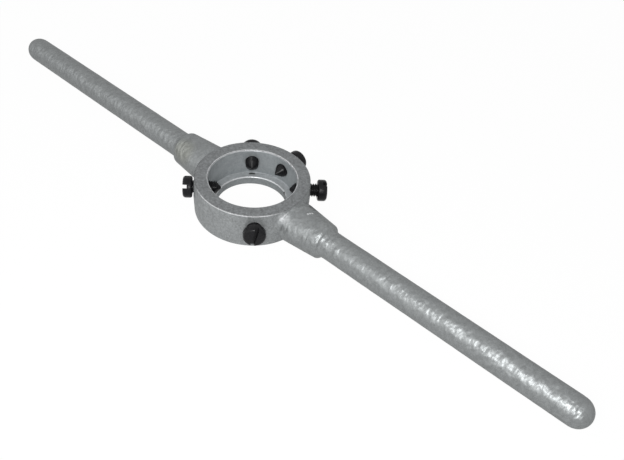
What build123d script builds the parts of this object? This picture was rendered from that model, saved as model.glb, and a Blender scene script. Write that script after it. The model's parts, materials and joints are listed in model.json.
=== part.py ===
from build123d import *

import math
import os

# Frame: the origin is on the die axis, at mid height of the ring, a little above the arms' common axis.
# +Z runs up out of the die pocket, and +X runs along an arm. All sizes are in millimetres.

# The round die that the stock holds, and its seat
die_diameter = 38.1
die_thickness = 12.7
die_clearance = 0.1
lip_height = 4.1
lip_bore_diameter = 31.3
mouth_chamfer = 0.5
lip_chamfer = 0.3

# The ring's cast outside, widest at the parting plane and drafted towards both faces
wall_thickness = 6.4
draft_angle = 2.5
outer_edge_chamfer = 0.35

# The arms, drafted a little towards their rounded ends, on an axis just below the ring's mid height
overall_length = 328.5
arm_root_diameter = 12.4
arm_tip_diameter = 12.2
arm_drop = 0.3

# The collars, round where they meet the arms and wider where they grow out of the ring. The two shares are of the
# step from a collar down to its arm: how much of it the shoulder's round takes, and the fillet under it.
collar_reach = 43.5
collar_end_diameter = 16.1
collar_root_width = 21.0
collar_ease = 1.0
collar_drop = 0.15
shoulder_length = 1.6
shoulder_round_share = 0.56
arm_fillet_share = 0.38
root_fillet = 4.0
root_sink = 0.4
root_squareness = 3.2

# The slotted cheese-head screws and their tapped holes
thread_diameter = 6.0
thread_clearance = 0.05
screw_length = 12.3
head_diameter = 9.5
head_height = 4.1
head_round = 0.7
slot_width = 1.6
slot_depth = 1.9
lock_point_angle = 90.0
spreader_point_angle = 70.0
point_flat = 0.8
hole_countersink = 0.6

# Each screw: its place around the ring, the gap under its head and how far its slot is turned, in degrees
screws = {
    "closing_screw_right": {"around": 45.0, "gap": 3.1, "slot_turn": 100.0, "point": lock_point_angle},
    "spreader_screw": {"around": 90.0, "gap": 1.5, "slot_turn": 20.0, "point": spreader_point_angle},
    "closing_screw_rear": {"around": 135.0, "gap": 0.8, "slot_turn": 15.0, "point": lock_point_angle},
    "lock_screw_left": {"around": 225.0, "gap": 0.4, "slot_turn": 41.0, "point": lock_point_angle},
    "lock_screw_front": {"around": 316.5, "gap": 2.1, "slot_turn": 78.0, "point": lock_point_angle},
}

# Sizes worked out from the ones above
pocket_radius = die_diameter / 2 + die_clearance
lip_radius = lip_bore_diameter / 2
ring_height = die_thickness + lip_height
ring_top = ring_height / 2
ring_bottom = -ring_height / 2
seat_z = ring_bottom + lip_height
ring_radius = pocket_radius + wall_thickness
face_radius = ring_radius - ring_top * math.tan(math.radians(draft_angle))
screw_z = seat_z + die_thickness / 2
thread_radius = thread_diameter / 2
shank_radius = thread_radius - thread_clearance
arm_tip_radius = arm_tip_diameter / 2
arm_root_radius = arm_root_diameter / 2
arm_tip_center = overall_length / 2 - arm_tip_radius
collar_end_radius = collar_end_diameter / 2
collar_root_half = collar_root_width / 2
shoulder_step = collar_end_radius - arm_root_radius
shoulder_round = shoulder_round_share * shoulder_step
arm_root_fillet = arm_fillet_share * shoulder_step
root_rim = face_radius - root_sink
round_start = math.sqrt((root_rim + root_fillet) ** 2 - (collar_root_half + root_fillet) ** 2)
round_length = root_fillet * round_start / (root_rim + root_fillet)
shoulder_start = collar_reach - shoulder_length
wall_radius_at_screws = ring_radius - abs(screw_z) * math.tan(math.radians(draft_angle))


def ring_blank():
    """The ring as cast, still solid: two drafted halves that meet at the parting plane."""
    edge = outer_edge_chamfer
    outline = [
        (0, ring_bottom),
        (face_radius - edge, ring_bottom),
        (face_radius, ring_bottom + edge),
        (ring_radius, 0),
        (face_radius, ring_top - edge),
        (face_radius - edge, ring_top),
        (0, ring_top),
    ]
    with BuildPart() as blank:
        with BuildSketch(Plane.XZ):
            with BuildLine():
                Polyline(*outline, close=True)
            make_face()
        revolve(axis=Axis.Z)
    return blank.part


def collar_growth(x):
    """How far the collar's taper has run at x, in millimetres, eased in from the round shoulder."""
    return math.hypot(max(shoulder_start - x, 0), collar_ease) - collar_ease


def collar_half_width(x):
    """Half the collar's width at a distance from the die axis, with the round that ends just inside the ring's wall."""
    taper = (collar_root_half - collar_end_radius) / collar_growth(ring_radius)
    straight = collar_end_radius + taper * collar_growth(x)
    if x >= round_start:
        return straight
    into_round = min(round_start - x, round_length)
    return straight + root_fillet - math.sqrt(root_fillet**2 - into_round**2)


def collar_section(x, half_width, half_height, drop, squareness):
    """A closed cross-section of the collar at x: an ellipse for a squareness of 2, and boxier for more."""
    count = 32
    power = 2.0 / squareness
    points = []
    for step in range(count):
        turn = 2 * math.pi * step / count
        across = math.cos(turn)
        up = math.sin(turn)
        y = half_width * math.copysign(abs(across) ** power, across)
        z = half_height * math.copysign(abs(up) ** power, up) - drop
        points.append((y, z))
    with BuildSketch(Plane.YZ.offset(x)) as section:
        with BuildLine():
            Spline(*points, periodic=True)
        make_face()
    return section.sketch


def collar():
    """The collar on the +X side, from inside the ring's wall out to the round shoulder."""
    root_height = ring_top - collar_drop
    inner_x = pocket_radius - 1.0
    sections = []
    for share in (0.0, 0.15, 0.3, 0.45, 0.6, 0.8, 1.0):
        x = inner_x + (round_start - inner_x) * share
        squareness = root_squareness + (2.0 - root_squareness) * share
        sections.append(collar_section(x, collar_half_width(x), root_height, 0, squareness))
    for share in (0.3, 0.6, 0.85):
        x = round_start + (shoulder_start - round_start) * share
        height = root_height + (collar_end_radius - root_height) * share
        sections.append(collar_section(x, collar_half_width(x), height, arm_drop * share, 2.0))
    with BuildSketch(Plane.YZ.offset(shoulder_start)) as end_section:
        with Locations((0, -arm_drop)):
            Circle(collar_end_radius)
    sections.append(end_section.sketch)
    return loft(sections)


def arm():
    """The +X arm with the collar's round shoulder: a drafted bar with a ball end, turned about the arms' axis."""
    face_radius_outer = collar_end_radius - shoulder_round
    face_radius_inner = arm_root_radius + arm_root_fillet
    round_x = collar_reach - shoulder_round
    fillet_x = collar_reach + arm_root_fillet
    with BuildPart() as bar:
        with BuildSketch(Plane.XZ):
            with BuildLine():
                Polyline((shoulder_start, 0), (shoulder_start, collar_end_radius), (round_x, collar_end_radius))
                JernArc((round_x, collar_end_radius), (1, 0), shoulder_round, -90)
                Line((collar_reach, face_radius_outer), (collar_reach, face_radius_inner))
                JernArc((collar_reach, face_radius_inner), (0, -1), arm_root_fillet, 90)
                Line((fillet_x, arm_root_radius), (arm_tip_center, arm_tip_radius))
                JernArc((arm_tip_center, arm_tip_radius), (1, 0), arm_tip_radius, -90)
                Line((arm_tip_center + arm_tip_radius, 0), (shoulder_start, 0))
            make_face()
        revolve(axis=Axis.X)
    return Pos(0, 0, -arm_drop) * bar.part


def die_pocket():
    """What is bored out of the ring: the die's pocket, the smaller bore under it and their chamfers."""
    over = 1.0
    outline = [
        (0, ring_bottom - over),
        (lip_radius + lip_chamfer + over, ring_bottom - over),
        (lip_radius, ring_bottom + lip_chamfer),
        (lip_radius, seat_z - lip_chamfer),
        (lip_radius + lip_chamfer, seat_z),
        (pocket_radius, seat_z),
        (pocket_radius, ring_top - mouth_chamfer),
        (pocket_radius + mouth_chamfer + over, ring_top + over),
        (0, ring_top + over),
    ]
    with BuildPart() as pocket:
        with BuildSketch(Plane.XZ):
            with BuildLine():
                Polyline(*outline, close=True)
            make_face()
        revolve(axis=Axis.Z)
    return pocket.part


def screw_place(around):
    """Where a screw sits: its local X axis runs outwards along the screw, at the height of the die's middle."""
    return Rot(0, 0, around) * Pos(0, 0, screw_z)


def screw_hole(around):
    """A tapped hole through the ring's wall, bored at the thread's full diameter and countersunk at both ends."""
    over = 1.5
    inner = pocket_radius
    outer = wall_radius_at_screws
    wide = thread_radius + hole_countersink
    outline = [
        (inner - over, 0),
        (inner - over, wide + over),
        (inner + hole_countersink, thread_radius),
        (outer - hole_countersink, thread_radius),
        (outer + over, wide + over),
        (outer + over, 0),
    ]
    with BuildPart() as hole:
        with BuildSketch(Plane.XZ):
            with BuildLine():
                Polyline(*outline, close=True)
            make_face()
        revolve(axis=Axis.X)
    return screw_place(around) * hole.part


def casting():
    """The whole casting: ring, collars and arms in one piece, bored and drilled."""
    side = collar() + arm()
    body = ring_blank() + side + Rot(0, 0, 180) * side
    body -= die_pocket()
    for screw in screws.values():
        body -= screw_hole(screw["around"])
    return body


def screw_solid(around, gap, slot_turn, point):
    """A slotted cheese-head screw with a coned end, set in its hole with a gap left under its head."""
    point_flat_radius = point_flat / 2
    cone = (shank_radius - point_flat_radius) / math.tan(math.radians(point / 2))
    under_head = wall_radius_at_screws + gap
    tip = under_head - screw_length
    head_top = under_head + head_height
    head_radius = head_diameter / 2
    bend = head_round * (1 - math.sqrt(0.5))
    with BuildPart() as screw:
        with BuildSketch(Plane.XZ):
            with BuildLine():
                Polyline(
                    (head_top, 0),
                    (tip, 0),
                    (tip, point_flat_radius),
                    (tip + cone, shank_radius),
                    (under_head, shank_radius),
                    (under_head, head_radius),
                    (head_top - head_round, head_radius),
                )
                ThreePointArc(
                    (head_top - head_round, head_radius),
                    (head_top - bend, head_radius - bend),
                    (head_top, head_radius - head_round),
                )
                Line((head_top, head_radius - head_round), (head_top, 0))
            make_face()
        revolve(axis=Axis.X)
        with Locations(Pos(head_top - slot_depth / 2, 0, 0) * Rot(slot_turn, 0, 0)):
            Box(slot_depth, head_diameter + 1, slot_width, mode=Mode.SUBTRACT)
    return screw_place(around) * screw.part


def main():
    os.makedirs("parts", exist_ok=True)
    export_step(casting(), "parts/stock_casting.step")
    for name, screw in screws.items():
        export_step(screw_solid(**screw), f"parts/{name}.step")


main()
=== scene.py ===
import json
import math
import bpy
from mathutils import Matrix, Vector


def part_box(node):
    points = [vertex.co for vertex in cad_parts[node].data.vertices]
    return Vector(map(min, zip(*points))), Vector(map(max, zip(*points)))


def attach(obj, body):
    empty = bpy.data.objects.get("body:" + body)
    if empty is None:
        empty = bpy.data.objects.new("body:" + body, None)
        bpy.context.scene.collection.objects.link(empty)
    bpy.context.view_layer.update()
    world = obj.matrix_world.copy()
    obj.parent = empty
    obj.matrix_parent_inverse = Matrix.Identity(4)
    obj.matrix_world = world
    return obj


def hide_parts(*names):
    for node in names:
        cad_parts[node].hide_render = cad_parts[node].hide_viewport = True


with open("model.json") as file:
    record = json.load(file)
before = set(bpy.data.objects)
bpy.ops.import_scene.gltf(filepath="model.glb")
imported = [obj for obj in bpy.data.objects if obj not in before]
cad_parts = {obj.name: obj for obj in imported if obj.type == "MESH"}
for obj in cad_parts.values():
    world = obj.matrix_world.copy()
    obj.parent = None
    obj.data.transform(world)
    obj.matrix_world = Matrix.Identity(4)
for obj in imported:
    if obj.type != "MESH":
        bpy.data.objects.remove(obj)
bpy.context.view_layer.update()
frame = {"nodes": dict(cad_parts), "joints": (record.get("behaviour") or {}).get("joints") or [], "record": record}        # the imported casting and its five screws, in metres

from types import SimpleNamespace

import bmesh
import bpy
from bpy.props import FloatProperty, FloatVectorProperty, IntProperty, PointerProperty
from mathutils import Matrix, Vector

bl_info = {
    "name": "Die stock handle",
    "version": (1, 0, 0),
    "blender": (4, 5, 0),
    "location": "View3D > Sidebar > Die Stock",
    "description": "Models a round die stock with its slotted screws, and the stage that it lies on",
    "category": "Add Mesh",
}

MM = 0.001
CASTING_LOW, CASTING_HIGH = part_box("stock_casting")
MOUNTS = {mount["name"]: mount for mount in frame["record"]["mounts"]}

SPREADER_SCREW = "spreader_screw"

# How far each screw's slot is turned from level, in degrees
SLOT_TURNS = {
    "closing_screw_right": 100,
    "closing_screw_rear": 15,
    "lock_screw_left": 41,
    "lock_screw_front": 78,
    SPREADER_SCREW: 20,
}

# How much smaller the ring's radius is at its faces than at its parting plane
WALL_DRAFT = 0.37 * MM

# Places of the rings of vertices along a collar's taper, in millimetres from the die axis
TAPER_RINGS = (26.7, 29.0, 32.5, 36.5, 40.0)

# Rings along its shoulder: millimetres past the collar's reach, and what share of the step is left there
SHOULDER_RINGS = (
    (-1.6, 1.0), (-1.0, 0.97), (-0.45, 0.83), (-0.05, 0.57), (0.2, 0.32), (0.75, 0.08), (1.7, 0.0))

# Marks and painted highlights on the casting: the middle of each one, how far it is whole and where it
# ends, in millimetres
# A painted highlight on the front of the top's outer rim, where the lamps catch it
FRONT_RIM_HIGHLIGHT = ((10, -24, 8), 14, 24)
# A painted glint at the right collar's root
ROOT_GLINT = ((25.1, -7.0, 6.2), 1.0, 3.5)
SMOOTH_BALL_END = ((160, -2, 4), 2, 8)
WARM_STAIN = ((-37.5, -7, 5), 3, 8)
SCRATCH = (
    ((31.6, 0.5, 7.9), 0.25, 0.7),
    ((32.0, 1.4, 7.9), 0.25, 0.7),
    ((32.5, 2.4, 7.8), 0.25, 0.7),
)
# Small dark spots: a dot at the lip and an arc along the ledge under the rear closing screw
LEDGE_DARK_SPOTS = (
    ((6.3, 14.35, -5.0), 0.5, 0.9),
    ((-13.3, 12.3, -4.3), 0.3, 0.8),
    ((-12.8, 13.0, -4.3), 0.3, 0.8),
    ((-12.1, 13.6, -4.3), 0.3, 0.8),
)

WHITE = (1.0, 1.0, 1.0, 1.0)


class CastingSizes(bpy.types.PropertyGroup):
    """Sizes of the ring, its collars and the arms."""

    ring_radius: FloatProperty(
        name="Ring radius", description="Outside radius of the ring at its parting plane",
        default=-CASTING_LOW.y, unit="LENGTH")
    face_radius: FloatProperty(
        name="Face radius", description="Outside radius of the ring at its top and bottom faces",
        default=-CASTING_LOW.y - WALL_DRAFT, unit="LENGTH")
    ring_top: FloatProperty(
        name="Ring top", description="Height of the ring's top face over the middle of the ring",
        default=CASTING_HIGH.z, unit="LENGTH")
    seat_height: FloatProperty(
        name="Seat", description="Height of the ledge that the die lies on",
        default=MOUNTS["die_seat"]["pos_m"][2], unit="LENGTH")
    pocket_radius: FloatProperty(
        name="Pocket radius", description="Radius of the bore that takes the die",
        default=MOUNTS["die_pocket"]["dims"]["r_mm"] * MM, unit="LENGTH")
    lip_radius: FloatProperty(
        name="Lip radius", description="Radius of the smaller bore under the die",
        default=MOUNTS["guide_bore"]["dims"]["r_mm"] * MM, unit="LENGTH")
    mouth_chamfer: FloatProperty(
        name="Mouth chamfer", description="Chamfer round the pocket's mouth",
        default=0.5 * MM, unit="LENGTH")
    lip_chamfer: FloatProperty(
        name="Lip chamfer", description="Chamfers of the smaller bore",
        default=0.3 * MM, unit="LENGTH")
    rim_round: FloatProperty(
        name="Rim round", description="How far the rounds on the ring's outer edges reach",
        default=0.65 * MM, unit="LENGTH")
    edge_break: FloatProperty(
        name="Edge break", description="Round on the machined corners",
        default=0.08 * MM, unit="LENGTH")
    arm_end: FloatProperty(
        name="Arm end", description="How far each arm reaches from the die axis",
        default=CASTING_HIGH.x, unit="LENGTH")
    arm_radius: FloatProperty(
        name="Arm radius", description="Radius of an arm beside its collar",
        default=6.2 * MM, unit="LENGTH")
    arm_tip_radius: FloatProperty(
        name="Arm tip radius", description="Radius of an arm's ball end",
        default=6.1 * MM, unit="LENGTH")
    arm_drop: FloatProperty(
        name="Arm drop", description="How far the arms' axis lies below the middle of the ring",
        default=0.3 * MM, unit="LENGTH")
    collar_drop: FloatProperty(
        name="Collar drop", description="How far a collar's axis lies below mid height at its root",
        default=0.2 * MM, unit="LENGTH")
    collar_reach: FloatProperty(
        name="Collar reach", description="How far each collar reaches from the die axis",
        default=43.5 * MM, unit="LENGTH")
    collar_radius: FloatProperty(
        name="Collar radius", description="Radius of a collar at its shoulder",
        default=8.05 * MM, unit="LENGTH")
    collar_root_half: FloatProperty(
        name="Collar root", description="Half width of a collar where it meets the ring",
        default=10.5 * MM, unit="LENGTH")
    skin_depth: FloatProperty(
        name="Skin depth", description="How deep the lumps of the cast skin are",
        default=0.16 * MM, unit="LENGTH")
    ring_segments: IntProperty(
        name="Ring segments", description="Vertices round the ring before it is smoothed",
        default=60, min=12)
    arm_segments: IntProperty(
        name="Arm segments", description="Vertices round an arm before it is smoothed",
        default=32, min=8)
    smooth_angle: FloatProperty(
        name="Smooth under", description="Corners that turn less than this are shaded smooth",
        default=math.radians(28), unit="ROTATION")


class ScrewSizes(bpy.types.PropertyGroup):
    """Sizes of the slotted screws."""

    thread_radius: FloatProperty(
        name="Thread radius", description="Radius over the thread's crests",
        default=2.93 * MM, unit="LENGTH")
    root_radius: FloatProperty(
        name="Root radius", description="Radius at the bottom of the thread",
        default=2.42 * MM, unit="LENGTH")
    pitch: FloatProperty(
        name="Pitch", description="Thread pitch",
        default=1.0 * MM, unit="LENGTH")
    length: FloatProperty(
        name="Length", description="Length under the head",
        default=12.3 * MM, unit="LENGTH")
    head_radius: FloatProperty(
        name="Head radius", description="Radius of the head",
        default=4.75 * MM, unit="LENGTH")
    head_height: FloatProperty(
        name="Head height", description="Height of the head",
        default=4.1 * MM, unit="LENGTH")
    head_round: FloatProperty(
        name="Head round", description="Round on the head's outer edge",
        default=1.35 * MM, unit="LENGTH")
    head_under_round: FloatProperty(
        name="Head under round", description="Round on the edge of the head's underside",
        default=0.8 * MM, unit="LENGTH")
    slot_width: FloatProperty(
        name="Slot width", description="Width of the screwdriver slot",
        default=1.6 * MM, unit="LENGTH")
    slot_depth: FloatProperty(
        name="Slot depth", description="Depth of the screwdriver slot",
        default=1.9 * MM, unit="LENGTH")
    edge_break: FloatProperty(
        name="Edge break", description="Round on the slot's edges",
        default=0.1 * MM, unit="LENGTH")
    point_flat: FloatProperty(
        name="Point flat", description="Radius of the small flat at a screw's point",
        default=0.4 * MM, unit="LENGTH")
    lock_point_angle: FloatProperty(
        name="Lock point", description="Angle of a lock or closing screw's point",
        default=math.radians(90), unit="ROTATION")
    spreader_point_angle: FloatProperty(
        name="Spreader point", description="Angle of the spreader screw's point",
        default=math.radians(70), unit="ROTATION")
    hole_radius: FloatProperty(
        name="Hole radius", description="Radius of a tapped hole",
        default=3.0 * MM, unit="LENGTH")
    hole_countersink: FloatProperty(
        name="Countersink", description="How much wider a tapped hole is where it opens outside",
        default=0.5 * MM, unit="LENGTH")
    hole_deburr: FloatProperty(
        name="Deburr", description="How much wider a tapped hole is where it opens in the pocket",
        default=0.1 * MM, unit="LENGTH")
    segments: IntProperty(
        name="Segments", description="Vertices round a shank or a hole",
        default=64, min=12)
    head_segments: IntProperty(
        name="Head segments", description="Vertices round a head",
        default=96, min=12)
    smooth_angle: FloatProperty(
        name="Smooth under", description="Corners that turn less than this are shaded smooth",
        default=math.radians(30), unit="ROTATION")


class Finishes(bpy.types.PropertyGroup):
    """Colours and shine of the casting and the screws."""

    cast_skin: FloatVectorProperty(
        name="Cast skin", description="The arms and the collars",
        default=(0.218, 0.228, 0.23), size=3, subtype="COLOR", min=0, max=1)
    ring_wall: FloatVectorProperty(
        name="Ring wall", description="The ring's cast outside",
        default=(0.242, 0.253, 0.256), size=3, subtype="COLOR", min=0, max=1)
    machined_face: FloatVectorProperty(
        name="Machined face", description="The ring's faced top",
        default=(0.192, 0.2, 0.204), size=3, subtype="COLOR", min=0, max=1)
    bored_wall: FloatVectorProperty(
        name="Bored wall", description="The wall of the die pocket",
        default=(0.28, 0.3, 0.31), size=3, subtype="COLOR", min=0, max=1)
    # The ledge's machined metal, painted lighter than the bored wall as light on its upward face
    seat: FloatVectorProperty(
        name="Seat", description="The ledge under the die",
        default=(0.42, 0.44, 0.45), size=3, subtype="COLOR", min=0, max=1)
    warm_stain: FloatVectorProperty(
        name="Warm stain", description="A faint warm patch on the far collar",
        default=(0.2, 0.2, 0.15), size=3, subtype="COLOR", min=0, max=1)
    # Darker than the pocket's bored wall: painted shade in the smaller bore under the die
    guide_bore: FloatVectorProperty(
        name="Guide bore", description="The smaller bore under the die",
        default=(0.2, 0.215, 0.22), size=3, subtype="COLOR", min=0, max=1)
    # Colour of the small dark spots at the lip and along the ledge
    dirt: FloatVectorProperty(
        name="Dirt", description="A dark nick on the ledge and the dirt in its corner",
        default=(0.03, 0.03, 0.03), size=3, subtype="COLOR", min=0, max=1)
    # Bare metal on the chamfers and scratches, and also the colour of the painted highlights on the
    # rim's front and at the right collar's root
    bare_metal_and_highlight: FloatVectorProperty(
        name="Bright edge", description="Chamfers and edges with bare metal",
        default=(0.62, 0.63, 0.64), size=3, subtype="COLOR", min=0, max=1)
    black_oxide: FloatVectorProperty(
        name="Black oxide", description="The blackened screws",
        default=(0.006, 0.006, 0.007), size=3, subtype="COLOR", min=0, max=1)
    thin_oxide: FloatVectorProperty(
        name="Thin oxide", description="The screws where their black is thinner",
        default=(0.012, 0.012, 0.013), size=3, subtype="COLOR", min=0, max=1)
    dark_mottle: FloatProperty(
        name="Dark mottle", description="Factor on the casting's colours in its darkest patches",
        default=0.45, min=0)
    light_mottle: FloatProperty(
        name="Light mottle", description="Factor on the casting's colours in its lightest patches",
        default=1.55, min=0)
    grazing_tint: FloatProperty(
        name="Grazing tint", description="How bright the casting's reflections are where they graze it",
        default=0.6, subtype="FACTOR", min=0, max=1)
    screw_shine: FloatProperty(
        name="Screw shine", description="How strongly the blackened screws reflect",
        default=0.12, subtype="FACTOR", min=0, max=1)


class StageSettings(bpy.types.PropertyGroup):
    """Camera, light and floor."""

    lens: FloatProperty(
        name="Lens", description="Focal length on a sensor 36 mm wide",
        default=42.937, subtype="DISTANCE_CAMERA")
    camera_place: FloatVectorProperty(
        name="Camera", description="Where the camera stands",
        default=(170.75 * MM, -182.07 * MM, 212.77 * MM), size=3, subtype="TRANSLATION")
    camera_turn: FloatVectorProperty(
        name="Camera turn", description="How the camera is turned",
        default=[math.radians(turn) for turn in (46.823, -5.075, 41.442)], size=3, subtype="EULER")
    lamp_place: FloatVectorProperty(
        name="Lamp", description="Where the soft lamp stands",
        default=(165 * MM, -200 * MM, 205 * MM), size=3, subtype="TRANSLATION")
    lamp_width: FloatProperty(
        name="Lamp width", description="Width of the soft lamp beside the camera",
        default=135 * MM, unit="LENGTH")
    lamp_power: FloatProperty(
        name="Lamp power", description="Power of the soft lamp beside the camera",
        default=0.83, unit="POWER")
    ceiling_place: FloatVectorProperty(
        name="Ceiling lamp", description="Where the wide lamp overhead stands",
        default=(-290 * MM, -640 * MM, 480 * MM), size=3, subtype="TRANSLATION")
    ceiling_width: FloatProperty(
        name="Ceiling lamp width", description="Width of the wide lamp overhead",
        default=900 * MM, unit="LENGTH")
    ceiling_power: FloatProperty(
        name="Ceiling lamp power", description="Power of the wide lamp overhead",
        default=2.2, unit="POWER")
    room_light: FloatProperty(
        name="Room light", description="Strength of the even light all round",
        default=0.35, subtype="FACTOR", min=0, max=1)
    floor_size: FloatProperty(
        name="Floor size", description="Width of the floor",
        default=6.0, unit="LENGTH")
    floor_glow: FloatProperty(
        name="Floor glow", description="How much of the floor is seen as plain white, and not as lit",
        default=0.97, subtype="FACTOR", min=0, max=1)


def deselect_all():
    bpy.ops.object.select_all(action="DESELECT")


def choose(*pieces):
    """Selects these pieces alone, and makes the first one active."""
    deselect_all()
    for piece in pieces:
        piece.select_set(True)
    bpy.context.view_layer.objects.active = pieces[0]


def open_piece(piece):
    """Opens a piece for modelling with nothing in it selected."""
    choose(piece)
    bpy.ops.object.mode_set(mode="EDIT")
    bpy.ops.mesh.select_mode(type="VERT")
    bpy.ops.mesh.select_all(action="DESELECT")


def close_piece():
    bpy.ops.object.mode_set(mode="OBJECT")


def name_piece(piece, name):
    piece.name = name
    piece.data.name = name
    return piece


def pick(kind, test):
    """Selects the vertices, edges or faces of the open piece that pass the test, and nothing else."""
    bpy.ops.mesh.select_mode(type=kind)
    bpy.ops.mesh.select_all(action="DESELECT")
    mesh = bpy.context.object.data
    shape = bmesh.from_edit_mesh(mesh)
    elements = {"VERT": shape.verts, "EDGE": shape.edges, "FACE": shape.faces}[kind]
    found = [element for element in elements if test(element)]
    for element in found:
        element.select_set(True)
    shape.select_flush_mode()
    bmesh.update_edit_mesh(mesh)
    if not found:
        raise RuntimeError(f"nothing to select on {bpy.context.object.name}")


def middle(edge):
    return (edge.verts[0].co + edge.verts[1].co) / 2


def around(point):
    """A point's distance from the die axis."""
    return math.hypot(point.x, point.y)


def beside_arm(point):
    """How far round the ring a point lies from the nearer arm, in radians."""
    return math.atan2(abs(point.y), abs(point.x))


def extrude_to(move, scale, center):
    """Extrudes what is selected by a move, and then scales the new ring of vertices about a centre."""
    bpy.ops.mesh.extrude_region_move(TRANSFORM_OT_translate={"value": move})
    bpy.ops.transform.resize(value=scale, center_override=center)


def apply_place():
    """Moves the place, turn and size of the selected piece into its mesh."""
    bpy.ops.object.transform_apply(location=True, rotation=True, scale=True)


def finish_with(kind, **settings):
    """Adds a modifier to the active piece and applies it."""
    bpy.ops.object.modifier_add(type=kind)
    modifier = bpy.context.object.modifiers[-1]
    for name, value in settings.items():
        setattr(modifier, name, value)
    bpy.ops.object.modifier_apply(modifier=modifier.name)


def combine(piece, operation, other):
    """Cuts, joins or intersects a piece with another one, which is used up."""
    choose(piece)
    finish_with("BOOLEAN", operation=operation, solver="EXACT", object=other)
    bpy.data.objects.remove(other)


def outward_normals():
    bpy.ops.mesh.select_all(action="SELECT")
    bpy.ops.mesh.normals_make_consistent(inside=False)


def turn_bar(stations, segments):
    """A closed bar on the X axis, extruded from a circle through stations of place and radius."""
    deselect_all()
    bpy.ops.mesh.primitive_circle_add(
        vertices=segments, radius=stations[0][1], location=(stations[0][0], 0, 0),
        rotation=(0, math.pi / 2, 0), fill_type="NGON")
    bar = bpy.context.object
    apply_place()
    open_piece(bar)
    bpy.ops.mesh.select_all(action="SELECT")
    for (x, radius), (next_x, next_radius) in zip(stations, stations[1:]):
        grow = next_radius / radius
        extrude_to((next_x - x, 0, 0), (1, grow, grow), (next_x, 0, 0))
    outward_normals()
    close_piece()
    return bar


def wall_radius(sizes, height):
    """The ring's outside radius at a height: drafted from the parting plane towards both faces."""
    draft = (sizes.ring_radius - sizes.face_radius) / sizes.ring_top
    return sizes.ring_radius - draft * abs(height)


def ring_section(sizes):
    """The ring's section as radius, height and whether the corner is a sharp one."""
    top = sizes.ring_top
    seat = sizes.seat_height
    pocket = sizes.pocket_radius
    lip = sizes.lip_radius
    mouth = sizes.mouth_chamfer
    chamfer = sizes.lip_chamfer
    face = sizes.face_radius
    rim = sizes.rim_round
    rows = [top - rim, *[top * quarters / 4 for quarters in range(3, -4, -1)], rim - top]
    return [
        (pocket + mouth, top, True),
        ((pocket + face) / 2, top, False),
        (face - rim, top, False),
        (face, top, False),
        *[(wall_radius(sizes, row), row, False) for row in rows],
        (face, -top, False),
        (face - rim, -top, False),
        ((lip + face) / 2, -top, False),
        (lip + chamfer, -top, True),
        (lip, chamfer - top, True),
        (lip, seat - chamfer, True),
        (lip + chamfer, seat, True),
        ((lip + pocket) / 2, seat, False),
        (pocket, seat, True),
        (pocket, (seat + top) / 2, False),
        (pocket, top - mouth, True),
    ]


def shrinkage(segments):
    """How much larger a round is drawn, so that smoothing brings it to its size."""
    return 3 / (2 + math.cos(2 * math.pi / segments))


def turn_ring(sizes):
    """The ring, left open for more modelling: a circle, extruded round its section and bridged shut."""
    section = ring_section(sizes)
    allowance = shrinkage(sizes.ring_segments)
    first_radius, first_height, _ = section[0]
    bpy.ops.mesh.primitive_circle_add(
        vertices=sizes.ring_segments, radius=first_radius * allowance, location=(0, 0, first_height))
    ring = bpy.context.object
    apply_place()
    open_piece(ring)
    bpy.ops.mesh.select_all(action="SELECT")
    for (radius, height, _), (next_radius, next_height, _) in zip(section, section[1:]):
        widen = next_radius / radius
        extrude_to((0, 0, next_height - height), (widen, widen, 1), (0, 0, next_height))
    pick("EDGE", lambda edge: edge.is_boundary)
    bpy.ops.mesh.bridge_edge_loops()
    outward_normals()
    return ring


def open_wall(sizes):
    """Takes out the ring's outer wall where the collars grow from it, in steps that follow an oval."""
    outside = (sizes.pocket_radius + sizes.face_radius) / 2
    segments_each_side = 4
    half_width = segments_each_side * 2 * math.pi / sizes.ring_segments
    oval_share = 0.96

    def at_collar(face):
        place = face.calc_center_median()
        faces_up_or_down = abs(face.normal.z) > 0.5
        if faces_up_or_down or around(place) < outside:
            return False
        return math.hypot(beside_arm(place) / half_width, place.z / sizes.ring_top) < oval_share

    pick("FACE", at_collar)
    bpy.ops.mesh.delete(type="FACE")


def round_opening(sizes, side):
    """Slides the opening's rim along the wall until it is as round as the collar's section."""
    allowance = shrinkage(sizes.ring_segments)
    width = sizes.collar_root_half
    height = sizes.collar_radius
    drop = sizes.collar_drop
    same_place = 0.001 * MM
    shape = bmesh.from_edit_mesh(bpy.context.object.data)
    rim = [vertex.co.copy() for vertex in shape.verts if vertex.is_boundary and side * vertex.co.x > 0]
    for corner in rim:
        turn = math.atan2((corner.z + drop) / height, corner.y / width)
        y = width * math.cos(turn)
        z = height * math.sin(turn) - drop
        x = side * math.sqrt((allowance * wall_radius(sizes, z)) ** 2 - y**2)
        pick("VERT", lambda vertex: (vertex.co - corner).length < same_place)
        bpy.ops.transform.translate(value=Vector((x, y, z)) - corner)


def collar_stations(sizes):
    """Each ring of a collar and its shoulder: place along X, half width, half height and drop."""
    reach = sizes.collar_reach
    end = sizes.collar_radius
    arm = sizes.arm_radius
    taper_end = reach + SHOULDER_RINGS[0][0] * MM
    root = sizes.ring_radius
    stations = []
    for ring in TAPER_RINGS:
        run = (taper_end - ring * MM) / (taper_end - root)
        width = end + (sizes.collar_root_half - end) * run
        drop = sizes.arm_drop + (sizes.collar_drop - sizes.arm_drop) * run
        stations.append((ring * MM, width, end, drop))
    for past, share in SHOULDER_RINGS:
        radius = arm + (end - arm) * share
        stations.append((reach + past * MM, radius, radius, sizes.arm_drop))
    return stations


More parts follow.
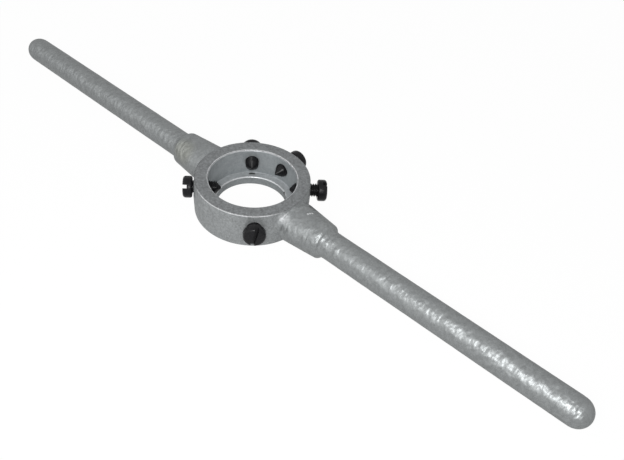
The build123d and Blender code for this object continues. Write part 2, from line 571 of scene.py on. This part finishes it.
def grow_arm(sizes, side):
    """A collar, its arm and ball end, extruded from a circle and bridged to the opening in the wall."""
    stations = collar_stations(sizes)
    start, width, height, drop = stations[0]
    round_opening(sizes, side)
    bpy.ops.mesh.select_mode(type="VERT")
    bpy.ops.mesh.select_all(action="DESELECT")
    bpy.ops.mesh.primitive_circle_add(
        vertices=sizes.arm_segments, radius=width * shrinkage(sizes.arm_segments),
        location=(side * start, 0, -drop), rotation=(0, math.pi / 2, 0))
    bpy.ops.transform.resize(value=(1, 1, height / width), center_override=(side * start, 0, -drop))
    for station, next_station in zip(stations, stations[1:]):
        x, width, height, drop = station
        next_x, next_width, next_height, next_drop = next_station
        extrude_to(
            (side * (next_x - x), 0, drop - next_drop),
            (1, next_width / width, next_height / height),
            (side * next_x, 0, -next_drop))
    root_x = stations[-1][0]
    ball_x = sizes.arm_end - sizes.arm_tip_radius
    taper = sizes.arm_tip_radius / sizes.arm_radius
    extrude_to((side * (ball_x - root_x), 0, 0), (1, taper, taper), (side * ball_x, 0, -sizes.arm_drop))
    round_off_arm(sizes, side, ball_x)
    divide_arm(side, root_x, ball_x)
    pick("EDGE", lambda edge: edge.is_boundary and side * middle(edge).x > 0)
    bpy.ops.mesh.bridge_edge_loops(number_cuts=1, interpolation="LINEAR")


def round_off_arm(sizes, side, ball_x):
    """The ball end of an arm, extruded in rings that close on its pole."""
    rings = 6
    x = ball_x
    radius = sizes.arm_tip_radius
    for step in range(1, rings):
        turn = math.pi / 2 * step / rings
        next_x = ball_x + sizes.arm_tip_radius * math.sin(turn)
        next_radius = sizes.arm_tip_radius * math.cos(turn)
        shrink = next_radius / radius
        extrude_to((side * (next_x - x), 0, 0), (1, shrink, shrink), (side * next_x, 0, -sizes.arm_drop))
        x = next_x
        radius = next_radius
    to_pole = (side * (sizes.arm_end - x), 0, 0)
    bpy.ops.mesh.extrude_region_move(TRANSFORM_OT_translate={"value": to_pole})
    bpy.ops.mesh.merge(type="CENTER")


def divide_arm(side, root_x, ball_x):
    """Cuts the long faces of an arm into short ones."""
    cuts = 34
    half = (ball_x - root_x) / 2

    def long_edge(edge):
        return side * middle(edge).x > root_x and edge.calc_length() > half

    pick("EDGE", long_edge)
    bpy.ops.mesh.subdivide(number_cuts=cuts)


def on_corners(sizes, allowance):
    """A test for edges along the ring's sharp corners, at radii that are larger by an allowance."""
    corners = [(radius * allowance, height) for radius, height, sharp in ring_section(sizes) if sharp]
    near = 0.02 * MM

    def on_corner(edge):
        return any(
            all(math.hypot(around(end.co) - radius, end.co.z - height) < near for end in edge.verts)
            for radius, height in corners)

    return on_corner


def crease_corners(sizes):
    """Keeps the ring's sharp corners when it is smoothed."""
    pick("EDGE", on_corners(sizes, shrinkage(sizes.ring_segments)))
    bpy.ops.transform.edge_crease(value=1.0)


def break_corners(sizes):
    """Breaks the ring's machined corners."""
    pick("EDGE", on_corners(sizes, 1))
    bpy.ops.mesh.bevel(offset=sizes.edge_break, segments=2, profile=0.5, affect="EDGES")


def group_skin(sizes):
    """Puts the cast surfaces, which aren't machined, in a vertex group of their own."""
    slack = 0.05 * MM
    pick("VERT", lambda vertex: around(vertex.co) > sizes.face_radius - slack)
    bpy.context.object.vertex_groups.new(name="skin")
    bpy.ops.object.vertex_group_assign()


def lump_skin(sizes):
    """Gives the cast skin the shallow lumps that sand leaves, in two scales, always inwards."""
    for name, grain, share in (("skin_swells", 11 * MM, 0.6), ("skin_lumps", 3.4 * MM, 0.4)):
        lumps = bpy.data.textures.new(name, "CLOUDS")
        lumps.noise_scale = grain
        lumps.noise_depth = 1
        finish_with(
            "DISPLACE", texture=lumps, texture_coords="LOCAL", vertex_group="skin",
            mid_level=1.0, strength=sizes.skin_depth * share)


def screw_axis(name):
    """The way a screw's axis points out of the ring, how far out its head reaches, and its height."""
    inward = next(joint["axis"] for joint in frame["joints"] if joint["child"] == name)
    out = -Vector(inward).normalized()
    head_top = max(vertex.co.dot(out) for vertex in frame["nodes"][name].data.vertices)
    low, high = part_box(name)
    return out, head_top, (low.z + high.z) / 2


def screw_turn(sizes, name):
    """The matrix that turns local X to a screw's axis and puts the origin under its head."""
    out, head_top, height = screw_axis(name)
    under_head = head_top - sizes.head_height
    across = Vector((0, 0, 1)).cross(out)
    turn = Matrix((out, across, (0, 0, 1))).transposed().to_4x4()
    return Matrix.Translation(out * under_head + Vector((0, 0, height))) @ turn


def hole_cutter(casting_sizes, screw_sizes, name):
    """What is drilled out of the ring for one screw: a hole, deburred inside and countersunk outside."""
    out, _, height = screw_axis(name)
    over = 1.5 * MM
    radius = screw_sizes.hole_radius
    burr = screw_sizes.hole_deburr
    sink = screw_sizes.hole_countersink
    inner = casting_sizes.pocket_radius
    outer = wall_radius(casting_sizes, height)
    stations = [
        (inner - over, radius + burr + over),
        (inner + burr, radius),
        (outer - sink, radius),
        (outer + over, radius + sink + over),
    ]
    cutter = turn_bar(stations, screw_sizes.segments)
    cutter.rotation_euler = (0, 0, math.atan2(out.y, out.x))
    cutter.location = (0, 0, height)
    apply_place()
    return cutter


def drill(casting, casting_sizes, screw_sizes):
    """Drills the five screw holes through the ring's wall."""
    choose(*[hole_cutter(casting_sizes, screw_sizes, name) for name in SLOT_TURNS])
    bpy.ops.object.join()
    combine(casting, "DIFFERENCE", bpy.context.object)


def make_casting(casting_sizes, screw_sizes):
    """The whole casting: ring, collars and arms in one skin, bored and drilled."""
    casting = name_piece(turn_ring(casting_sizes), "die_stock_casting")
    open_wall(casting_sizes)
    for side in (1, -1):
        grow_arm(casting_sizes, side)
    crease_corners(casting_sizes)
    outward_normals()
    close_piece()
    finish_with("SUBSURF", levels=2, render_levels=2)
    open_piece(casting)
    break_corners(casting_sizes)
    group_skin(casting_sizes)
    close_piece()
    lump_skin(casting_sizes)
    drill(casting, casting_sizes, screw_sizes)
    bpy.ops.object.shade_smooth_by_angle(angle=casting_sizes.smooth_angle)
    return casting


def make_thread(sizes):
    """A length of thread, longer than the screw: one tooth of its section, wound along the axis."""
    root = sizes.root_radius
    crest = sizes.thread_radius
    # The tooth's corners: the share of a pitch, and the radius
    tooth = [(0, root), (0.2, root), (0.5, crest), (0.66, crest), (1.0, root)]
    spare_turns = 2
    turns = math.ceil(sizes.length / sizes.pitch) + 2 * spare_turns
    start = -(turns - spare_turns) * sizes.pitch
    deselect_all()
    bpy.ops.mesh.primitive_plane_add(size=sizes.pitch, location=(start, 0, root))
    thread = bpy.context.object
    apply_place()
    open_piece(thread)
    bpy.ops.mesh.select_all(action="SELECT")
    bpy.ops.mesh.merge(type="CENTER")
    for (share, radius), (next_share, next_radius) in zip(tooth, tooth[1:]):
        move = (next_share * sizes.pitch - share * sizes.pitch, 0, next_radius - radius)
        bpy.ops.mesh.extrude_region_move(TRANSFORM_OT_translate={"value": move})
    close_piece()
    finish_with(
        "SCREW", axis="X", angle=2 * math.pi, screw_offset=sizes.pitch, iterations=turns - 1,
        steps=40, render_steps=40, use_merge_vertices=True, merge_threshold=0.002 * MM)
    open_piece(thread)
    bpy.ops.mesh.select_all(action="SELECT")
    bpy.ops.mesh.remove_doubles(threshold=0.004 * MM)
    pick("EDGE", lambda edge: edge.is_boundary)
    bpy.ops.mesh.edge_face_add()
    outward_normals()
    close_piece()
    return thread


def make_shank(sizes, point_angle):
    """The threaded shank with its coned point: what a thread and a slightly wider pointed bar share."""
    into_head = sizes.head_height * 0.3
    wide = sizes.thread_radius * 1.04
    blunting = 0.1 * MM
    cone = (sizes.thread_radius - sizes.point_flat) / math.tan(point_angle / 2) - blunting
    stations = [(into_head, wide), (cone - sizes.length, wide), (-sizes.length, sizes.point_flat)]
    thread = make_thread(sizes)
    shank = turn_bar(stations, sizes.segments)
    combine(shank, "INTERSECT", thread)
    return shank


def make_head(sizes):
    """The cheese head: a cylinder with rounded rims, faced flat, with the slot milled across it."""
    height = sizes.head_height
    deselect_all()
    bpy.ops.mesh.primitive_cylinder_add(
        vertices=sizes.head_segments, radius=sizes.head_radius, depth=height,
        location=(height / 2, 0, 0), rotation=(0, math.pi / 2, 0))
    head = bpy.context.object
    apply_place()
    open_piece(head)
    near = 0.01 * MM
    for rim, reach, segments in ((height, sizes.head_round, 6), (0, sizes.head_under_round, 4)):
        pick("EDGE", lambda edge: all(abs(end.co.x - rim) < near for end in edge.verts))
        bpy.ops.mesh.bevel(offset=reach, segments=segments, profile=0.5, affect="EDGES")
    close_piece()
    cut_slot(head, sizes)
    return head


def cut_slot(head, sizes):
    """Mills the slot across a head and breaks its edges."""
    deselect_all()
    bpy.ops.mesh.primitive_cube_add(size=1, location=(sizes.head_height, 0, 0))
    cutter = bpy.context.object
    cutter.scale = (2 * sizes.slot_depth, 3 * sizes.head_radius, sizes.slot_width)
    apply_place()
    combine(head, "DIFFERENCE", cutter)
    finish_with(
        "BEVEL", width=sizes.edge_break, segments=2, limit_method="ANGLE",
        angle_limit=math.radians(40), use_clamp_overlap=True)


def make_screw(sizes, point_angle, name):
    """One whole screw on the X axis, with its head's underside at the origin."""
    shank = make_shank(sizes, point_angle)
    head = make_head(sizes)
    combine(head, "UNION", shank)
    bpy.ops.object.shade_smooth_by_angle(angle=sizes.smooth_angle)
    return name_piece(head, name)


def set_screw(screw, sizes, name):
    """Turns a screw's slot, sets the screw in its hole and lets it stand for its plain solid."""
    slot_turn = Matrix.Rotation(math.radians(SLOT_TURNS[name]), 4, "X")
    screw.data.transform(screw_turn(sizes, name) @ slot_turn)
    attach(screw, name)
    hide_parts(name)


def copy_piece(piece, name):
    """A copy of a piece with a mesh of its own."""
    choose(piece)
    bpy.ops.object.duplicate(linked=False)
    return name_piece(bpy.context.object, name)


class Flow:
    """One value or colour that flows through a material. Arithmetic on it adds Math nodes."""

    def __init__(self, shader, socket):
        self.shader = shader
        self.socket = socket

    def math(self, operation, *values):
        """Adds a Math node."""
        return self.shader.node("ShaderNodeMath", {"operation": operation}, dict(enumerate(values)))[0]

    def __add__(self, other):
        return self.math("ADD", self, other)

    def __radd__(self, other):
        return self.math("ADD", other, self)

    def __sub__(self, other):
        return self.math("SUBTRACT", self, other)

    def __rsub__(self, other):
        return self.math("SUBTRACT", other, self)

    def __mul__(self, other):
        return self.math("MULTIPLY", self, other)

    def __rmul__(self, other):
        return self.math("MULTIPLY", other, self)

    def __pow__(self, other):
        return self.math("POWER", self, other)

    def __or__(self, other):
        """The larger of two values."""
        return self.math("MAXIMUM", self, other)

    def __abs__(self):
        return self.math("ABSOLUTE", self)


class Shader:
    """The node tree of one material or of the world."""

    def __init__(self, owner):
        owner.use_nodes = True
        self.tree = owner.node_tree
        self.tree.nodes.clear()

    def node(self, kind, settings, inputs):
        """Adds a node: its settings first, then its sockets' values or flows. Gives its outputs."""
        node = self.tree.nodes.new(kind)
        for name, value in settings.items():
            setattr(node, name, value)
        for name, value in inputs.items():
            if isinstance(value, Flow):
                self.tree.links.new(value.socket, node.inputs[name])
            else:
                node.inputs[name].default_value = value
        return [Flow(self, socket) for socket in node.outputs]

    def place(self):
        """Object coordinates, in metres."""
        _, _, _, object_place, *_ = self.node("ShaderNodeTexCoord", {}, {})
        return object_place

    def axes(self, place):
        return self.node("ShaderNodeSeparateXYZ", {}, {"Vector": place})

    def noise(self, place, grain, detail, roughness):
        """Cloudy noise from 0 to 1, with features about one grain across, in millimetres."""
        sockets = {"Vector": place, "Scale": 1 / (grain * MM), "Detail": detail, "Roughness": roughness}
        return self.node("ShaderNodeTexNoise", {}, sockets)[0]

    def seen(self):
        """1 for what is seen, also in a reflection or through a clear surface, and 0 for the light."""
        camera, _, _, glossy, _, _, transmission, *_ = self.node("ShaderNodeLightPath", {}, {})
        return camera | glossy | transmission

    def stretch(self, place, factors):
        """A place with its axes scaled, so that noise on it is shorter or longer along them."""
        return self.node("ShaderNodeVectorMath", {"operation": "MULTIPLY"}, {0: place, 1: factors})[0]

    def near(self, place, *spots):
        """1 in the core of a spot and 0 beyond its reach. Each spot is its middle, core and reach."""
        shares = []
        for point, core, reach in spots:
            ends = {0: place, 1: Vector(point) * MM}
            _, distance = self.node("ShaderNodeVectorMath", {"operation": "DISTANCE"}, ends)
            shares.append(1 - self.step(distance, core * MM, reach * MM))
        return sum(shares[1:], shares[0])

    def step(self, value, low, high):
        """0 below low, 1 above high, and smooth between them."""
        sockets = {"Value": value, "From Min": low, "From Max": high}
        return self.node("ShaderNodeMapRange", {"interpolation_type": "SMOOTHSTEP"}, sockets)[0]

    def band(self, value, low, high, soft):
        """1 between low and high, and 0 outside them, with soft ends."""
        return self.step(value, low - soft, low) * (1 - self.step(value, high, high + soft))

    def blend(self, share, first, second, way="MIX"):
        """Mixes two colours. A Mix node has them on its sockets 6 and 7, and the result on output 2."""
        settings = {"data_type": "RGBA", "blend_type": way}
        return self.node("ShaderNodeMix", settings, {0: share, 6: first, 7: second})[2]

    def bump(self, height, strength, distance):
        """A normal that follows a height, which is in units of the distance."""
        sockets = {"Strength": strength, "Distance": distance, "Height": height}
        return self.node("ShaderNodeBump", {}, sockets)[0]

    def finish(self, kind, surface):
        self.node(kind, {}, {"Surface": surface})


def new_material(name):
    material = bpy.data.materials.new(name)
    return material, Shader(material)


def rgba(colour):
    return (*colour, 1.0)


def grey(level):
    return (level, level, level, 1.0)


def casting_zones(shader, place, sizes):
    """Where each of the casting's surfaces is: 1 on it and 0 elsewhere, by radius and height."""
    x, y, z = shader.axes(place)
    radius = (x * x + y * y) ** 0.5
    top = sizes.ring_top
    seat = sizes.seat_height
    pocket = sizes.pocket_radius
    lip = sizes.lip_radius
    face = sizes.face_radius

    # Surfaces, which end softly a few tenths of a millimetre past their corners
    over_seat = shader.step(z, seat - 0.6 * MM, seat - 0.4 * MM)
    under_seat = 1 - shader.step(z, seat - 0.7 * MM, seat - 0.3 * MM)
    under_wall = 1 - shader.step(z, seat + 0.1 * MM, seat + 0.5 * MM)
    in_pocket = (1 - shader.step(radius, pocket + 0.1 * MM, pocket + 0.3 * MM)) * over_seat
    in_guide = 1 - shader.step(radius, lip + 0.35 * MM, lip + 0.5 * MM)
    bored = in_pocket | in_guide
    on_ledge = shader.band(radius, lip + 0.4 * MM, pocket - 0.1 * MM, 0.3 * MM)
    inside_rim = 1 - shader.step(radius, face - 0.5 * MM, face - 0.1 * MM)
    faced = shader.step(z, top - 0.25 * MM, top - 0.1 * MM) * inside_rim

    # Bright edges: the mouth's and the lip's chamfers of bare metal, and a painted highlight on the
    # front of the top's outer rim
    at_top = shader.step(z, top - 0.6 * MM, top - 0.35 * MM)
    at_seat = shader.band(z, seat - 0.4 * MM, seat + 0.1 * MM, 0.08 * MM)
    mouth_edge = shader.band(radius, pocket + 0.05 * MM, pocket + 0.5 * MM, 0.06 * MM) * at_top
    lip_edge = shader.band(radius, lip, lip + 0.4 * MM, 0.08 * MM) * at_seat
    rim_edge = shader.band(radius, face - 0.35 * MM, face + 0.3 * MM, 0.1 * MM) * at_top
    edge = mouth_edge + lip_edge * 0.7 + rim_edge * shader.near(place, FRONT_RIM_HIGHLIGHT)
    # A painted glint at the right collar's root, and the scratches of bare metal on its top
    edge = edge + shader.near(place, ROOT_GLINT) * 0.4 + shader.near(place, *SCRATCH)

    reach = sizes.collar_reach
    return SimpleNamespace(
        bored=bored,
        guide=bored * under_seat,
        seat=on_ledge * over_seat * under_wall,
        faced=faced,
        machined=faced | bored,
        wall=shader.band(radius, face, sizes.ring_radius + 1.5 * MM, 1.5 * MM),
        shoulder=shader.band(abs(x), reach - 5 * MM, reach + 3 * MM, 4 * MM),
        edge=edge,
    )


def casting_colour(shader, place, zones, cloud, finishes):
    """The casting's colours, surface by surface, under a mottle that is finer on top and on the wall."""
    specks = shader.noise(place, grain=0.8, detail=2.0, roughness=0.7)
    speckled = zones.faced | zones.wall * 0.6
    mottle = cloud * (0.6 - 0.5 * speckled) + specks * (0.4 + 1.1 * speckled) - 0.3 * speckled
    tone = shader.blend(mottle, grey(finishes.dark_mottle), grey(finishes.light_mottle))
    colour = rgba(finishes.cast_skin)
    for share, finish in (
            (zones.wall, finishes.ring_wall),
            (shader.near(place, WARM_STAIN) * 0.32, finishes.warm_stain),
            (zones.faced, finishes.machined_face),
            (zones.bored, finishes.bored_wall),
            # The smaller bore, painted darker as shade
            (zones.guide, finishes.guide_bore),
            # The ledge, painted lighter as light on its upward face
            (zones.seat, finishes.seat),
            # Bare metal on chamfers and scratches, and painted highlights on the rim's front and the
            # collar's root
            (zones.edge, finishes.bare_metal_and_highlight)):
        colour = shader.blend(share, colour, rgba(finish))
    colour = shader.blend(1.0, colour, tone, "MULTIPLY")
    # Darker spots at the lip and along the ledge under the rear closing screw
    return shader.blend(shader.near(place, *LEDGE_DARK_SPOTS), colour, rgba(finishes.dirt))


def casting_relief(shader, place, along_arm, zones):
    """The hammered look of the cast skin, streaked at the shoulders, and a fine grain all over."""
    swells = shader.noise(along_arm, grain=5.0, detail=2.0, roughness=0.5)
    hammered = shader.noise(along_arm, grain=2.8, detail=1.0, roughness=0.45)
    streaks = shader.noise(shader.stretch(place, (2.2, 0.6, 0.6)), grain=2.6, detail=1.0, roughness=0.4)
    grain = shader.noise(place, grain=0.6, detail=2.0, roughness=0.6)
    lumps = hammered * 0.6 + swells * 0.5 + streaks * zones.shoulder * 0.5
    height = lumps * (1 - 0.94 * zones.machined) + grain * (0.015 + 0.03 * zones.faced)
    return shader.bump(height, strength=1.0, distance=MM)


def cast_metal(finishes, sizes):
    """Cast grey metal: a lightly hammered skin, a faced top and smoother bores with bright chamfers."""
    material, shader = new_material("cast_metal")
    place = shader.place()
    along_arm = shader.stretch(place, (1.35, 0.9, 0.9))
    cloud = shader.noise(along_arm, grain=2.6, detail=4.0, roughness=0.65)
    zones = casting_zones(shader, place, sizes)
    rough = 0.39 + 0.12 * cloud + 0.08 * zones.machined + 0.18 * zones.wall - 0.2 * zones.edge
    sockets = {
        "Base Color": casting_colour(shader, place, zones, cloud, finishes),
        "Metallic": 0.72 - 0.32 * zones.bored - 0.2 * zones.wall + 0.2 * zones.edge,
        "Roughness": rough - 0.06 * shader.near(place, SMOOTH_BALL_END),
        "Normal": casting_relief(shader, place, along_arm, zones),
        "Specular Tint": grey(finishes.grazing_tint),
    }
    surface = shader.node("ShaderNodeBsdfPrincipled", {}, sockets)[0]
    shader.finish("ShaderNodeOutputMaterial", surface)
    return material


def screw_steel(finishes):
    """Blackened steel with a faint oily sheen."""
    material, shader = new_material("screw_steel")
    place = shader.place()
    patch = shader.noise(place, grain=1.6, detail=3.0, roughness=0.6)
    grain = shader.noise(place, grain=0.25, detail=2.0, roughness=0.6)
    sockets = {
        "Base Color": shader.blend(patch, rgba(finishes.black_oxide), rgba(finishes.thin_oxide)),
        "Roughness": 0.17 + 0.22 * patch,
        "Specular IOR Level": finishes.screw_shine,
        "Normal": shader.bump(grain, strength=0.5, distance=0.03 * MM),
    }
    surface = shader.node("ShaderNodeBsdfPrincipled", {}, sockets)[0]
    shader.finish("ShaderNodeOutputMaterial", surface)
    return material


def white_floor(glow):
    """A white floor that still takes a faint shadow."""
    material, shader = new_material("white_floor")
    matt = shader.node("ShaderNodeBsdfDiffuse", {}, {"Color": WHITE})[0]
    white = shader.node("ShaderNodeEmission", {}, {"Color": WHITE, "Strength": 1.0})[0]
    surface = shader.node("ShaderNodeMixShader", {}, {0: shader.seen() * glow, 1: matt, 2: white})[0]
    shader.finish("ShaderNodeOutputMaterial", surface)
    return material


def hang_lamp(place, width, power):
    """A round soft lamp that faces the ring."""
    aim = -Vector(place)
    turn = aim.to_track_quat("-Z", "Y").to_euler()
    bpy.ops.object.light_add(type="AREA", radius=1, location=place, rotation=turn)
    lamp = bpy.context.object.data
    lamp.shape = "DISK"
    lamp.size = width
    lamp.energy = power


def light_room(strength):
    """Even light from all round, which the camera and reflections see as white."""
    world = bpy.data.worlds.new("room")
    bpy.context.scene.world = world
    shader = Shader(world)
    sockets = {"Color": WHITE, "Strength": strength + shader.seen() * (1 - strength)}
    surface = shader.node("ShaderNodeBackground", {}, sockets)[0]
    shader.finish("ShaderNodeOutputWorld", surface)


class DIESTOCK_OT_casting(bpy.types.Operator):
    """Models the casting: the stepped ring, its two collars and its two arms"""

    bl_idname = "diestock.casting"
    bl_label = "Casting"

    def execute(self, context):
        scene = context.scene
        casting = make_casting(scene.die_stock_casting, scene.die_stock_screws)
        casting.data.materials.clear()
        casting.data.materials.append(cast_metal(scene.die_stock_finishes, scene.die_stock_casting))
        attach(casting, "stock")
        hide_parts("stock_casting")
        return {"FINISHED"}


class DIESTOCK_OT_screws(bpy.types.Operator):
    """Models a lock screw, copies it to its four places and adds the sharper spreader screw"""

    bl_idname = "diestock.screws"
    bl_label = "Slotted screws"

    def execute(self, context):
        scene = context.scene
        sizes = scene.die_stock_screws
        steel = screw_steel(scene.die_stock_finishes)
        pattern = make_screw(sizes, sizes.lock_point_angle, "lock_screw_pattern")
        pattern.data.materials.append(steel)
        for name in SLOT_TURNS:
            if name != SPREADER_SCREW:
                set_screw(copy_piece(pattern, name + "_finished"), sizes, name)
        bpy.data.objects.remove(pattern)
        spreader = make_screw(sizes, sizes.spreader_point_angle, SPREADER_SCREW + "_finished")
        spreader.data.materials.append(steel)
        set_screw(spreader, sizes, SPREADER_SCREW)
        return {"FINISHED"}


class DIESTOCK_OT_stage(bpy.types.Operator):
    """Lays the white floor and sets up the camera, the two lamps and the room light"""

    bl_idname = "diestock.stage"
    bl_label = "Stage"

    def execute(self, context):
        stage = context.scene.die_stock_stage
        deselect_all()
        bpy.ops.mesh.primitive_plane_add(size=stage.floor_size, location=(0, 0, CASTING_LOW.z))
        floor = name_piece(context.object, "floor")
        floor.data.materials.append(white_floor(stage.floor_glow))
        bpy.ops.object.camera_add(location=stage.camera_place, rotation=stage.camera_turn)
        camera = context.object
        camera.data.sensor_width = 36
        camera.data.lens = stage.lens
        camera.data.clip_start = 10 * MM
        context.scene.camera = camera
        hang_lamp(stage.lamp_place, stage.lamp_width, stage.lamp_power)
        hang_lamp(stage.ceiling_place, stage.ceiling_width, stage.ceiling_power)
        light_room(stage.room_light)
        context.scene.view_settings.view_transform = "Standard"
        return {"FINISHED"}


class DIESTOCK_PT_panel(bpy.types.Panel):
    """The die stock's pieces and sizes"""

    bl_idname = "DIESTOCK_PT_panel"
    bl_label = "Die Stock"
    bl_space_type = "VIEW_3D"
    bl_region_type = "UI"
    bl_category = "Die Stock"

    def draw(self, context):
        layout = self.layout
        for operator in OPERATORS:
            layout.operator(operator.bl_idname)
        for name, group in GROUPS.items():
            box = layout.box()
            settings = getattr(context.scene, name)
            for field in group.__annotations__:
                box.prop(settings, field)


GROUPS = {
    "die_stock_casting": CastingSizes,
    "die_stock_screws": ScrewSizes,
    "die_stock_finishes": Finishes,
    "die_stock_stage": StageSettings,
}
OPERATORS = (DIESTOCK_OT_casting, DIESTOCK_OT_screws, DIESTOCK_OT_stage)


def register():
    for group in GROUPS.values():
        bpy.utils.register_class(group)
    for name, group in GROUPS.items():
        setattr(bpy.types.Scene, name, PointerProperty(type=group))
    for operator in OPERATORS:
        bpy.utils.register_class(operator)
    bpy.utils.register_class(DIESTOCK_PT_panel)


def unregister():
    bpy.utils.unregister_class(DIESTOCK_PT_panel)
    for operator in reversed(OPERATORS):
        bpy.utils.unregister_class(operator)
    for name in GROUPS:
        delattr(bpy.types.Scene, name)
    for group in reversed(GROUPS.values()):
        bpy.utils.unregister_class(group)


def main():
    register()
    bpy.ops.diestock.casting()
    bpy.ops.diestock.screws()
    bpy.ops.diestock.stage()


if __name__ == "__main__":
    main()
